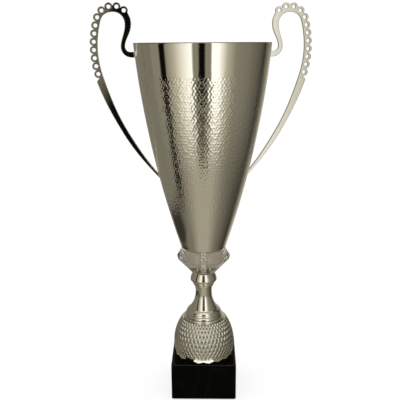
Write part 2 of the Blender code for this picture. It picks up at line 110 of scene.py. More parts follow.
# Sockets of a Mix node that blends colours
MIX_FIRST = 6
MIX_SECOND = 7
MIX_RESULT = 2
VEIN_THINNESS = 14.0
SENSOR_WIDTH = 36.0
NEAR_CLIP = 0.01
TENT_FLOOR = -0.002


def length(description, default):
    """A size in metres that a user may change."""
    return FloatProperty(description=description, default=default, min=0.0, precision=5, unit="LENGTH")


def colour(description, default):
    """A colour that a user may change."""
    return FloatVectorProperty(description=description, default=default, size=3, min=0.0, max=1.0,
                               subtype="COLOR")


def share(description, default):
    """A number between nothing and all."""
    return FloatProperty(description=description, default=default, min=0.0, max=1.0, subtype="FACTOR")


def count(description, default):
    """A whole number of copies."""
    return IntProperty(description=description, default=default, min=1)


def turn(description, degrees):
    """An angle that a user may change."""
    return FloatProperty(description=description, default=math.radians(degrees), subtype="ANGLE")


class CupLook(bpy.types.PropertyGroup):
    wall: length("Thickness of the cup's sheet", 0.0012)
    rim_bead: length("Radius of the rolled rim", 0.0009)
    corner: length("Rounding between the wall and the bottom", 0.0025)
    band: length("Height of the smooth band under the rim", 0.0335)
    marks_round: count("Hammer marks in one row round the cup", 120)
    mark_pitch: length("Height of one row of hammer marks", 0.00305)
    mark_depth: length("Depth of a hammer mark", 0.0002)
    mark_jitter: share("How far a mark strays from its place", 0.15)
    marks_end: length("Height above the cup's bottom where the marks have faded out", 0.029)
    marks_full: length("Height above the cup's bottom where the marks are at full depth", 0.055)
    bore: length("Radius of the hole in the cup's bottom", 0.0034)
    tint: colour("Colour of the polished nickel", (0.80, 0.775, 0.71))
    # Painted reflection: a dark tint for the rim's top, standing in for the dark surroundings that the rim
    # mirrors
    rim_reflection_tint: colour("Colour of the burnished rim", (0.22, 0.215, 0.19))
    roughness: share("Roughness of the polished nickel", 0.05)


class HandleLook(bpy.types.PropertyGroup):
    edge: length("Rounding of the handle's edges", 0.0005)
    hole: share("How much of each bead's hole its thick lip leaves open", 0.8)
    stud: length("Radius of the studs through the wall", 0.0015)
    stud_proud: length("How far a stud stands out of its nut", 0.001)
    tint: colour("Colour of the plated casting", (0.53, 0.515, 0.455))
    roughness: share("Roughness of the plated casting", 0.06)


class FootLook(bpy.types.PropertyGroup):
    skirt: length("Height of the straight skirt under the dome", 0.015)
    wall: length("Thickness of the moulding", 0.0025)
    hub: length("Radius of the hub round the rod", 0.0064)
    bore: length("Radius of the hole for the rod", 0.0034)
    teeth: count("Pointed teeth round the hem", 18)
    hem: length("Height of the hem's teeth", 0.0055)
    flare: length("How far the teeth's points stand out", 0.0046)
    notch: share("How far up the hem the notches between the teeth reach", 0.25)
    studs_round: count("Studs in one row round the dome", 45)
    stud_rows: count("Rows of studs up the dome", 9)
    stud_height: length("How far a stud stands out", 0.0022)
    stud_bunch: share("How much lower the rows of studs get towards the dome's ends", 0.35)
    # Painted shade: how dark the plating's colour is made between the studs, where shade falls
    painted_recess_shade: share("Brightness of the dulled plating between the studs", 0.2)
    rib: length("Height of the plain rib under the neck", 0.0033)
    tint: colour("Colour of the silver plating", (0.80, 0.78, 0.72))
    roughness: share("Roughness of the silver plating", 0.05)


class StemLook(bpy.types.PropertyGroup):
    ribs: count("Ribs round the neck's lip", 2)
    rib_depth: length("Depth of the grooves between the ribs", 0.0007)
    roll: length("Height of the round roll at the foot of the flare", 0.0045)
    roll_depth: length("How far the roll stands out", 0.0009)
    ring: length("Height of the small ring under the knop's bead", 0.0037)
    ring_swell: length("How far the small ring stands out", 0.0004)
    bead_end: length("Radius of the knop's bead at its top", 0.0129)
    bead_swell: length("How far the knop's bead stands out", 0.00335)
    belly: share("How far up the bead it is widest", 0.2)
    groove: length("Depth of the seams round the knop", 0.0006)
    steps: count("Facets round the neck and the knop", 96)


class CollarLook(bpy.types.PropertyGroup):
    girdle_round: length("Rounding of the collar's widest edge", 0.0034)
    facets: count("Facets round the collar's crown", 20)
    facet_depth: length("How far the facets' ridges stand out", 0.0003)
    lumps_round: count("Lumps in one row round the sleeve inside the collar", 8)
    lump_rows: count("Rows of lumps up the sleeve", 8)
    lump_height: length("How far a lump stands out", 0.001)
    tint: colour("Colour of the clear acrylic", (0.93, 0.89, 0.875))
    ior: FloatProperty(description="Refractive index of the acrylic", default=1.49, min=1.0, max=2.0)


class BlockLook(bpy.types.PropertyGroup):
    edge: length("Rounding of the block's edges", 0.0005)
    stone: colour("Colour of the marble", (0.0008, 0.0009, 0.0005))
    vein: colour("Colour of the marble's faint veins", (0.003, 0.003, 0.0027))
    felt: colour("Colour of the felt", (0.012, 0.012, 0.013))
    roughness: share("Roughness of the polished marble", 0.09)
    gloss: share("How much the marble mirrors", 0.04)
    edge_gloss: share("How much the marble's ground edges mirror", 0.35)


class FixingLook(bpy.types.PropertyGroup):
    thread: length("Pitch of the rod's thread", 0.001)
    thread_depth: length("Depth of the rod's thread", 0.0005)
    chamfer: length("Chamfer on the nuts", 0.0004)
    washer_edge: length("Rounding on the washers", 0.00015)
    tint: colour("Colour of the zinc plating", (0.62, 0.63, 0.62))


class StudioLook(bpy.types.PropertyGroup):
    lens: FloatProperty(description="Focal length of the camera, in millimetres", default=54.83, min=1.0)
    camera: FloatVectorProperty(description="Place of the camera", default=(0.0106, -0.7075, 0.4254), size=3,
                                subtype="XYZ", unit="LENGTH")
    tilt: turn("How far the camera looks down", 14.32)
    pan: turn("How far the camera is turned to the left", 1.18)
    roll: turn("How far the camera is rolled", -0.35)
    floor: length("Side of the floor", 12.0)
    floor_tint: colour("Colour of the floor's sheet", (0.26, 0.26, 0.26))
    floor_glow: share("Light that comes through the floor's sheet from below", 0.77)
    light: FloatProperty(description="Strength of the light from all round", default=1.02, min=0.0)
    tent: length("Radius of the light tent round the trophy", 0.75)
    tent_top: length("Height of the tent's ceiling", 1.1)
    fade_start: length("Way out along the floor where its light starts to turn into the wall's", 0.47)
    fade: length("Way over which the floor's light turns into the wall's", 0.40)
    backdrop: length("Radius of the backdrop that is seen through the acrylic", 0.60)


def deselect_all():
    """Leave edit mode and select nothing, so that an operator acts on the new piece alone."""
    if bpy.context.mode != "OBJECT":
        bpy.ops.object.mode_set(mode="OBJECT")
    bpy.ops.object.select_all(action="DESELECT")


def pick(piece):
    """Select one piece and make it the active one."""
    deselect_all()
    piece.select_set(True)
    bpy.context.view_layer.objects.active = piece


@contextmanager
def editing(piece, kind="VERT"):
    """Edit mode, with all of one piece's mesh selected."""
    pick(piece)
    bpy.ops.object.mode_set(mode="EDIT")
    bpy.ops.mesh.select_mode(type=kind)
    bpy.ops.mesh.select_all(action="SELECT")
    yield
    bpy.ops.object.mode_set(mode="OBJECT")


def close_mesh(piece):
    """Merge a piece's doubled corners and turn its faces outwards."""
    with editing(piece):
        bpy.ops.mesh.remove_doubles(threshold=MERGE_DISTANCE)
        bpy.ops.mesh.normals_make_consistent(inside=False)


def smooth(piece, angle=SMOOTH_ANGLE):
    """Shade a piece smooth, apart from its sharp edges."""
    pick(piece)
    bpy.ops.object.shade_smooth_by_angle(angle=angle)
    return piece


def added(name):
    """The piece that an operator has just added, with its place, turn and scale written into its mesh."""
    piece = bpy.context.object
    piece.name = name
    bpy.ops.object.transform_apply(location=True, rotation=True, scale=True)
    return piece


def turned(name, outline, steps):
    """Draw a closed outline of (radius, height) points by extruding one corner, and spin it about Z."""
    deselect_all()
    first = outline[0]
    bpy.ops.mesh.primitive_plane_add(size=SEED_SIZE, location=(first[0], 0.0, first[1]))
    piece = added(name)
    closed = outline + [first]
    with editing(piece):
        bpy.ops.mesh.merge(type="CENTER")
        for here, there in zip(closed, closed[1:]):
            step = (there[0] - here[0], 0.0, there[1] - here[1])
            bpy.ops.mesh.extrude_region_move(TRANSFORM_OT_translate={"value": step})
        bpy.ops.mesh.select_all(action="SELECT")
        bpy.ops.mesh.spin(steps=steps, angle=FULL_TURN, center=(0.0, 0.0, 0.0), axis=(0.0, 0.0, 1.0))
    close_mesh(piece)
    return piece


def copied(name, node):
    """A merged copy of a CAD node's mesh, with its flat faces made whole, as a new piece."""
    piece = bpy.data.objects.new(name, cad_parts[node].data.copy())
    bpy.context.collection.objects.link(piece)
    with editing(piece):
        bpy.ops.mesh.remove_doubles(threshold=MERGE_DISTANCE)
        bpy.ops.mesh.dissolve_limited(angle_limit=FLAT_ANGLE)
    return piece


def apply_modifier(piece, kind, **settings):
    """Change a piece by one modifier."""
    pick(piece)
    modifier = piece.modifiers.new(kind, kind)
    for name, value in settings.items():
        setattr(modifier, name, value)
    bpy.ops.object.modifier_apply(modifier=modifier.name)


def smooth_round_flats(piece):
    """Shade a piece smooth with its broad faces left flat, so that only the rounded edges catch the light."""
    smooth(piece)
    apply_modifier(piece, "WEIGHTED_NORMAL", keep_sharp=True)


def rounded(piece, width, segments=EDGE_STEPS):
    """Round a piece's sharp edges."""
    apply_modifier(piece, "BEVEL", width=width, segments=segments, limit_method="ANGLE",
                   angle_limit=EDGE_ANGLE)
    smooth_round_flats(piece)
    return piece


def placed(piece, material, slot, *nodes):
    """Give a piece its finish and set it on the trophy in place of its CAD nodes."""
    piece.data.materials.clear()
    piece.data.materials.append(material)
    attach(piece, "root")
    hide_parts(*nodes)


def corners(piece):
    """Places of a mesh's corners, their distances from the trophy's axis and their angles round it."""
    places = np.zeros(len(piece.data.vertices) * 3)
    piece.data.vertices.foreach_get("co", places)
    places = places.reshape(-1, 3)
    return places, np.hypot(places[:, 0], places[:, 1]), np.arctan2(places[:, 1], places[:, 0])


def move_corners(piece, places):
    """Put a mesh's corners at new places."""
    piece.data.vertices.foreach_set("co", places.ravel())
    piece.data.update()


def pushed(places, angles, lean, rise):
    """Places on a turned wall, moved square to it. The lean is how much its normal rises for one step out."""
    out = np.stack([np.cos(angles), np.sin(angles), lean], axis=1)
    out /= np.linalg.norm(out, axis=1, keepdims=True)
    return places + out * rise[:, None]


def arc(centre, radius, start, end, steps):
    """Points on an arc between two angles in degrees, both ends included."""
    first = math.radians(start)
    sweep = math.radians(end) - first
    angles = [first + sweep * i / steps for i in range(steps + 1)]
    return [(centre[0] + radius * math.cos(a), centre[1] + radius * math.sin(a)) for a in angles]


def ring_profile(node):
    """Outside of a turned CAD node, from bottom to top: one (radius, height) for each ring of its corners."""
    places, radii, _ = corners(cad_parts[node])
    heights = np.round(places[:, 2], decimals=5)
    return [(float(radii[heights == height].max()), float(height)) for height in np.unique(heights)]


def smooth_line(points, spans):
    """A smooth line through points, with a number of steps from each to the next."""
    line = []
    for i in range(len(points) - 1):
        before = Vector(points[max(i - 1, 0)])
        start = Vector(points[i])
        end = Vector(points[i + 1])
        after = Vector(points[min(i + 2, len(points) - 1)])
        for k in range(spans):
            t = k / spans
            place = (2.0 * start + (end - before) * t
                     + (2.0 * before - 5.0 * start + 4.0 * end - after) * t ** 2
                     + (3.0 * start - before - 3.0 * end + after) * t ** 3) / 2.0
            line.append((place.x, place.y))
    return line + [tuple(points[-1])]


class Finish:
    """A new material, with short ways to add nodes to it."""

    def __init__(self, name):
        self.material = bpy.data.materials.new(name)
        self.material.use_nodes = True
        self.nodes = self.material.node_tree.nodes
        places = self.node("TexCoord").outputs
        self.place = places["Object"]
        self.flat_place = places["UV"]

    def node(self, kind, inputs=None, **settings):
        """A new node with its settings and its inputs."""
        node = self.nodes.new("ShaderNode" + kind)
        for name, value in settings.items():
            setattr(node, name, value)
        self.feed(node, inputs or {})
        return node

    def feed(self, node, inputs):
        """Set a node's inputs, or join them to what other nodes give."""
        for name, value in inputs.items():
            if isinstance(value, bpy.types.NodeSocket):
                self.material.node_tree.links.new(value, node.inputs[name])
            else:
                node.inputs[name].default_value = value

    def noise(self, scale, detail):
        """Noise over the piece, with a scale in waves to the metre."""
        return self.node("TexNoise", {"Scale": scale, "Detail": detail, "Vector": self.place}).outputs["Fac"]

    def ramp(self, value, low, high):
        """A blend between two colours that follows a value."""
        blend = self.node("ValToRGB", {"Fac": value})
        for stop, tint in zip(blend.color_ramp.elements, (low, high)):
            stop.color = (*tint, 1.0)
        return blend.outputs["Color"]

    def spread(self, value, low, high):
        """A value from nothing to all, spread between two limits."""
        return self.node("MapRange", {"Value": value, "To Min": low, "To Max": high}).outputs["Result"]

    def bump(self, value, strength, distance):
        """Fine relief that follows a value."""
        inputs = {"Height": value, "Strength": strength, "Distance": distance}
        return self.node("Bump", inputs).outputs["Normal"]

    def sums(self, operation, first, second, clamp=False):
        """What a Math node makes of two values."""
        return self.node("Math", {0: first, 1: second}, operation=operation, use_clamp=clamp).outputs["Value"]

    def mix(self, factor, first, second, kind="MIX"):
        """Two colours mixed by a factor."""
        inputs = {"Factor": factor, MIX_FIRST: first, MIX_SECOND: second}
        return self.node("Mix", inputs, data_type="RGBA", blend_type=kind).outputs[MIX_RESULT]

    def painted(self, inputs):
        """The material, with the inputs of its surface set."""
        self.feed(self.nodes["Principled BSDF"], inputs)
        return self.material

    def glowing(self, shader):
        """The material, with another shader in place of its surface."""
        self.nodes.remove(self.nodes["Principled BSDF"])
        self.feed(self.nodes["Material Output"], {"Surface": shader})
        return self.material


def toned(tint, brightness):
    """A colour made darker or paler."""
    return [channel * brightness for channel in tint]


def plated_metal(name, look, clouds, haze, tint=None, painted_recess_shade=None):
    """Bright plating, a little cloudy and unevenly polished, which may have painted shade darkening it where
    it is recessed.
    """
    finish = Finish(name)
    tint = tint or look.tint
    plating = finish.ramp(finish.noise(scale=clouds, detail=3.0), toned(tint, brightness=0.94), tint)
    # Painted shade: the attribute darkens the plating's colour in the recesses between the dome's studs
    if painted_recess_shade is not None:
        painted_shade_amount = finish.node("Attribute", attribute_name=SHADE_ATTRIBUTE).outputs["Fac"]
        shade = (painted_recess_shade, painted_recess_shade, painted_recess_shade, 1.0)
        plating = finish.mix(painted_shade_amount, plating, shade, kind="MULTIPLY")
    polish = finish.noise(scale=haze, detail=4.0)
    return finish.painted({
        "Metallic": 1.0,
        "Base Color": plating,
        "Roughness": finish.spread(polish, low=look.roughness * 0.7, high=look.roughness * 1.4),
        "Normal": finish.bump(polish, strength=0.03, distance=0.0002),
    })


def zinc_steel(tint):
    """Zinc plated steel with a fine grain."""
    finish = Finish("zinc_steel_finish")
    grain = finish.noise(scale=900.0, detail=5.0)
    return finish.painted({
        "Metallic": 1.0,
        "Base Color": finish.ramp(finish.noise(scale=180.0, detail=4.0), toned(tint, brightness=0.8), tint),
        "Roughness": finish.spread(grain, low=0.22, high=0.42),
        "Normal": finish.bump(grain, strength=0.08, distance=0.0001),
    })


def clear_acrylic(look):
    """Clear acrylic, very slightly warm."""
    finish = Finish("clear_acrylic_finish")
    clouds = finish.noise(scale=60.0, detail=2.0)
    ripple = finish.noise(scale=140.0, detail=2.0)
    return finish.painted({
        "Transmission Weight": 1.0,
        "IOR": look.ior,
        "Base Color": finish.ramp(clouds, toned(look.tint, brightness=0.97), look.tint),
        "Roughness": finish.spread(ripple, low=0.01, high=0.04),
        "Normal": finish.bump(ripple, strength=0.05, distance=0.0003),
    })


def black_marble(name, look, gloss):
    """Polished black marble with faint veins."""
    finish = Finish(name)
    drift = finish.noise(scale=22.0, detail=6.0)
    vein = finish.node("TexWave", {"Scale": 9.0, "Distortion": 14.0, "Detail": 5.0, "Detail Scale": 2.2,
                                   "Vector": finish.place})
    thin = finish.sums("POWER", vein.outputs["Fac"], VEIN_THINNESS)
    return finish.painted({
        "Base Color": finish.ramp(finish.sums("MULTIPLY", thin, drift), look.stone, look.vein),
        "Roughness": finish.spread(drift, low=look.roughness * 0.8, high=look.roughness * 1.3),
        "Specular IOR Level": gloss,
    })


def black_felt(look):
    """Thin black felt with short fibres."""
    finish = Finish("black_felt_finish")
    fibre = finish.noise(scale=1600.0, detail=4.0)
    return finish.painted({
        "Base Color": finish.ramp(fibre, look.felt, toned(look.felt, brightness=3.0)),
        "Roughness": 0.95,
        "Sheen Weight": 0.4,
        "Normal": finish.bump(fibre, strength=0.5, distance=0.0004),
    })


def wall_curve():
    """The cup's outside radius as a curve of its height, fitted to the CAD node."""
    places, radii, _ = corners(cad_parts["cup_bowl"])
    low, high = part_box("cup_bowl")
    edges = np.linspace(low.z + WALL_CLEAR, high.z - WALL_CLEAR, WALL_BAND_EDGES)
    heights = []
    widest = []
    for bottom, top in zip(edges, edges[1:]):
        inside = np.flatnonzero((places[:, 2] >= bottom) & (places[:, 2] < top))
        best = inside[np.argmax(radii[inside])]
        heights.append(places[best, 2])
        widest.append(radii[best])
    return np.poly1d(np.polyfit(heights, widest, deg=2))


def round_cell(sideways, upwards):
    """Distance from the middle of a round cell: one at half a cell."""
    return 2.0 * np.hypot(sideways, upwards)


def tall_cell(sideways, upwards):
    """Distance from the middle of an oval cell two rows high: one at its edge."""
    return np.hypot(2.0 * sideways, upwards)


def staggered(across, along, columns, jitter, distance):
    """Distance of each place from the middle of its cell, on rows of staggered cells."""
    rows = int(along.max()) + 2
    stray = np.random.RandomState(PATTERN_SEED).uniform(-jitter, jitter, (columns, rows, 2))
    nearest = np.full(len(across), np.inf)
    for row_step in (-1, 0, 1):
        row = np.floor(along).astype(int) + row_step
        shift = 0.5 * (row % 2)
        for column_step in (-1, 0, 1):
            column = np.floor(across - shift).astype(int) + column_step
            offset = stray[column % columns, row % rows]
            sideways = across - (column + 0.5 + shift + offset[:, 0])
            upwards = along - (row + 0.5 + offset[:, 1])
            nearest = np.minimum(nearest, distance(sideways, upwards))
    return nearest


class TROPHY_OT_cup(bpy.types.Operator):
    """Spin the cup with its rolled rim and hammer its wall"""
    bl_idname = "trophy.cup"
    bl_label = "Hammered cup"

    def execute(self, context):
        look = context.scene.trophy_cup
        low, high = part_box("cup_bowl")
        wall = wall_curve()
        rim = (high.y - look.rim_bead, high.z - look.rim_bead / 2)
        wall_top = high.z - RIM_COVER * look.rim_bead
        band_bottom = high.z - look.band
        marks_end = low.z + look.marks_end
        corner_top = low.z + look.corner
        floor = low.z + look.wall
        heights = list(np.linspace(wall_top, band_bottom, PLAIN_ROWS)[:-1])
        heights += list(np.arange(band_bottom, marks_end, -look.mark_pitch / MARK_ROW_STEPS))
        heights += list(np.linspace(marks_end, corner_top, PLAIN_ROWS))
        outline = arc(rim, look.rim_bead, *RIM_ARC, RIM_STEPS)
        outline += [(float(wall(height)), float(height)) for height in heights]
        flat = float(wall(corner_top)) - look.corner
        outline += arc((flat, corner_top), look.corner, *CORNER_ARC, CORNER_STEPS)[1:]
        outline += [(look.bore, low.z), (look.bore, floor), (flat - look.wall, floor)]
        for height in np.linspace(floor + look.corner, wall_top, INSIDE_ROWS):
            outline.append((float(wall(height)) - look.wall, float(height)))
        cup = turned("hammered_cup", outline, MARK_STEPS * look.marks_round)
        self.hammer(cup, wall, low, band_bottom, look)
        smooth(cup)
        finish = plated_metal("hammered_nickel_finish", look, clouds=40.0, haze=220.0)
        placed(cup, finish, "nickel_cup", "cup_bowl")
        # Painted reflection: the faces on top of the rim get a darker metal in place of the dark surroundings
        # that they mirror
        rim_reflection_finish = plated_metal("rim_painted_reflection_finish", look, clouds=40.0, haze=220.0, tint=look.rim_reflection_tint)
        cup.data.materials.append(rim_reflection_finish)
        for face in cup.data.polygons:
            face.material_index = int(face.center.z > rim[1])
        return {"FINISHED"}

    def hammer(self, cup, wall, low, band_bottom, look):
        """Press the marks into the outside of the wall, square to it."""
        places, radii, angles = corners(cup)
        heights = places[:, 2]
        outside = np.flatnonzero((np.abs(radii - wall(heights)) < look.wall / 4)
                                 & (heights < band_bottom) & (heights > low.z + look.marks_end))
        skin = places[outside]
        around = angles[outside] % FULL_TURN
        height = skin[:, 2]
        fade_in = (height - low.z - look.marks_end) / (look.marks_full - look.marks_end)
        fade_out = (band_bottom - height) / (0.5 * look.mark_pitch)
        rows = (band_bottom - height) / look.mark_pitch + 0.5
        middle = staggered(around / FULL_TURN * look.marks_round, rows, look.marks_round, look.mark_jitter,
                           round_cell)
        depth = look.mark_depth * np.clip(fade_in, 0.0, 1.0) * np.clip(fade_out, 0.0, 1.0)
        rise = depth * (np.minimum(middle ** 2, MARK_RIDGE) - 1.0)
        places[outside] = pushed(skin, around, -wall.deriv()(height), rise)
        move_corners(cup, places)


class TROPHY_OT_handles(bpy.types.Operator):
    """Cut the two bead handles from their CAD outlines, round their edges and add their studs"""
    bl_idname = "trophy.handles"
    bl_label = "Bead handles"

    def execute(self, context):
        look = context.scene.trophy_handles
        finish = plated_metal("cast_nickel_finish", look, clouds=60.0, haze=300.0)
        for side in ("left", "right"):
            handle = self.plate(side, look)
            studs = [self.stud(side, place, look) for place in ("upper", "lower")]
            pick(handle)
            for stud in studs:
                stud.select_set(True)
            bpy.ops.object.join()
            smooth_round_flats(handle)
            placed(handle, finish, "nickel_handle", "handle_" + side)
        return {"FINISHED"}

    def plate(self, side, look):
        """The handle's flat plate with round edges, from the outline of the CAD node's broad face."""
        plate = copied("bead_handle_" + side, "handle_" + side)
        broad = max(plate.data.polygons, key=lambda face: face.area if face.normal.y < 0.0 else 0.0)
        out = broad.normal.copy()
        up = Vector((0.0, 0.0, 1.0))
        flat = Matrix((up.cross(out), up, out)).to_4x4()
        plate.data.transform(flat)
        depths = [vert.co.z for vert in plate.data.vertices]
        front, back = max(depths), min(depths)
        with editing(plate, "FACE"):
            bpy.ops.mesh.select_all(action="DESELECT")
        for face in plate.data.polygons:
            face.select = face.center.z < front - MERGE_DISTANCE
        bpy.ops.object.mode_set(mode="EDIT")
        bpy.ops.mesh.delete(type="FACE")
        bpy.ops.mesh.select_all(action="SELECT")
        bpy.ops.mesh.region_to_loop()
        bpy.ops.mesh.select_all(action="INVERT")
        bpy.ops.mesh.delete(type="EDGE_FACE")
        bpy.ops.object.mode_set(mode="OBJECT")
        plate.data.transform(Matrix.Translation((0.0, 0.0, -front)))
        bpy.ops.object.convert(target="CURVE")
        outline = plate.data
        self.thicken_lips(outline, look)
        outline.dimensions = "2D"
        outline.fill_mode = "BOTH"
        outline.extrude = (front - back) / 2 - look.edge
        outline.bevel_depth = look.edge
        outline.bevel_resolution = HANDLE_EDGE_STEPS
        outline.offset = -look.edge
        bpy.ops.object.convert(target="MESH")
        plate.data.transform(Matrix.Translation((0.0, 0.0, (front + back) / 2)))
        plate.data.transform(flat.inverted())
        close_mesh(plate)
        return plate

    def thicken_lips(self, outline, look):
        """Draw the holes in the beads in towards their middles, so that each bead has a thick lip."""
        rim = max(len(spline.points) for spline in outline.splines)
        for spline in outline.splines:
            if len(spline.points) == rim:
                continue
            places = [Vector(point.co[:3]) for point in spline.points]
            middle = sum(places, Vector()) / len(places)
            for point, place in zip(spline.points, places):
                point.co = (*(middle + (place - middle) * look.hole), 1.0)

    def stud(self, side, place, look):
        """The stud that holds the handle, through its washer and nut."""
        label = side + "_" + place
        nut_low, nut_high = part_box("handle_nut_" + label)
        ring_low, ring_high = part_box("handle_washer_" + label)
        nut_middle = (nut_low + nut_high) / 2
        ring_middle = (ring_low + ring_high) / 2
        along = (ring_middle - nut_middle).normalized()
        start = nut_middle - along * ((ring_middle - nut_middle).length + look.stud_proud)
        end = ring_middle + along * STUD_BITE * look.stud
        deselect_all()
        bpy.ops.mesh.primitive_cylinder_add(vertices=FIXING_STEPS, radius=look.stud,
                                            depth=(end - start).length, location=(start + end) / 2,
                                            rotation=along.to_track_quat("Z", "Y").to_euler())
        return rounded(added("handle_stud"), look.stud / 5, segments=1)


class TROPHY_OT_foot(bpy.types.Operator):
    """Spin the dome, raise its studs and cut its hem into teeth"""
    bl_idname = "trophy.foot"
    bl_label = "Studded dome"

    def execute(self, context):
        look = context.scene.trophy_foot
        low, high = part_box("dome_foot")
        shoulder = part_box("stem_neck")[1].y
        radius = high.y
        skirt_top = low.z + look.skirt
        overhang = radius - shoulder
        crown_height = high.z - skirt_top
        crown = (crown_height ** 2 + overhang ** 2) / (2.0 * overhang)
        hem_top = low.z + look.hem
        stud_top = high.z - look.rib

        def skin(height):
            if height < skirt_top:
                return radius
            return radius - crown + math.sqrt(crown ** 2 - (height - skirt_top) ** 2)

        half = look.stud_height / 2
        hem_radius = radius - look.flare
        heights = self.row_heights(skin, hem_top + half, stud_top, look)
        outline = [(look.bore, high.z), (shoulder - look.wall, high.z)]
        rib_middle = (stud_top + high.z) / 2
        outline += arc((skin(rib_middle) - look.rib / 2, rib_middle), look.rib / 2, *RIB_ARC, ROUND_STEPS)
        outline += [(skin(height) - half, height) for height in heights[::-1]]
        inner = hem_radius - look.wall
        outline += [(hem_radius, hem_top), (radius, low.z), (inner, low.z), (inner, skirt_top)]
        ceiling = high.z - look.wall - look.rib
        outline += [(skin(height) - look.flare - look.wall, height)
                    for height in np.linspace(skirt_top, ceiling, HOLLOW_ROWS)[1:]]
        outline += [(look.hub, ceiling), (look.hub, low.z), (look.bore, low.z)]
        dome = turned("studded_dome", outline, STUD_STEPS * look.studs_round)
        self.raise_studs(dome, heights, skin, look)
        self.cut_teeth(dome, low.z, hem_top, hem_radius, look)
        smooth(dome, RELIEF_ANGLE)
        for face in dome.data.polygons:
            if face.center.z < hem_top and face.center.xy.length > hem_radius - look.wall / 2:
                face.use_smooth = False
        # The dome's finish carries the painted shade between its studs
        finish = plated_metal("dome_plating_painted_shade_finish", look, clouds=90.0, haze=400.0,
                              painted_recess_shade=look.painted_recess_shade)
        placed(dome, finish, "plated_plastic", "dome_foot")
        return {"FINISHED"}

    def row_heights(self, skin, bottom, top, look):
        """Heights of the dome's rings, for rows of studs that get lower towards the dome's two ends."""
        fine = np.linspace(bottom, top, DOME_SAMPLES)
        radii = np.array([skin(height) for height in fine])
        run = np.concatenate([[0.0], np.cumsum(np.hypot(np.diff(fine), np.diff(radii)))])
        part = np.linspace(0.0, 1.0, STUD_ROW_STEPS * look.stud_rows + 1)
        bunched = part - look.stud_bunch * np.sin(FULL_TURN * part) / FULL_TURN
        return list(np.interp(run[-1] * bunched, run, fine))

    def raise_studs(self, dome, heights, skin, look):
        """Raise a round stud in every cell of the dome's side, square to it, and keep how deep each corner
        lies between the studs as the amount of painted shade in the recesses.
        """
        places, radii, angles = corners(dome)
        height = places[:, 2]
        side = np.array([skin(level) for level in np.clip(height, heights[0], heights[-1])])
        on_side = np.flatnonzero((np.abs(radii - side + look.stud_height / 2) < MERGE_DISTANCE)
                                 & (height > heights[0]) & (height < heights[-1]))
        level = height[on_side]
        around = (angles[on_side] - FRONT) / FULL_TURN * look.studs_round + 0.5
        along = np.interp(level, heights, np.arange(len(heights)) / STUD_ROW_STEPS)
        middle = staggered(around, along, look.studs_round, 0.0, tall_cell)
        rise = look.stud_height * np.maximum(1.0 - middle ** 2, 0.0) ** STUD_FULLNESS
        # Painted shade: the deeper a corner lies between the studs, the darker its colour is painted
        painted_shade_amount = np.zeros(len(places))
        painted_shade_amount[on_side] = (1.0 - rise / look.stud_height) ** PAINTED_SHADE_FALL
        dome.data.attributes.new(SHADE_ATTRIBUTE, "FLOAT", "POINT").data.foreach_set("value", painted_shade_amount)
        slope = np.gradient([skin(ring) for ring in heights], heights)
        lean = -np.interp(level, heights, slope)
        places[on_side] = pushed(places[on_side], angles[on_side], lean, rise)
        move_corners(dome, places)

    def cut_teeth(self, dome, bottom, hem_top, hem_radius, look):
        """Flatten the hem tooth by tooth, and lift its lower edge into a notch between each two points."""
        places, radii, angles = corners(dome)
        around = (angles - FRONT) / FULL_TURN * look.teeth
        from_point = around - np.floor(around) - 0.5
        on_hem = (places[:, 2] < hem_top + MERGE_DISTANCE) & (radii > hem_radius - MERGE_DISTANCE)
        lower_edge = on_hem & (places[:, 2] < bottom + MERGE_DISTANCE)
        notch = np.where(lower_edge, look.notch * 2.0 * np.abs(from_point), 0.0)
        flat = math.cos(math.pi / look.teeth) / np.cos(from_point * FULL_TURN / look.teeth)
        inward = np.where(on_hem, flat * (1.0 - notch * look.flare / np.maximum(radii, hem_radius)), 1.0)
        places[:, :2] *= inward[:, None]
        places[:, 2] += notch * look.hem
        move_corners(dome, places)


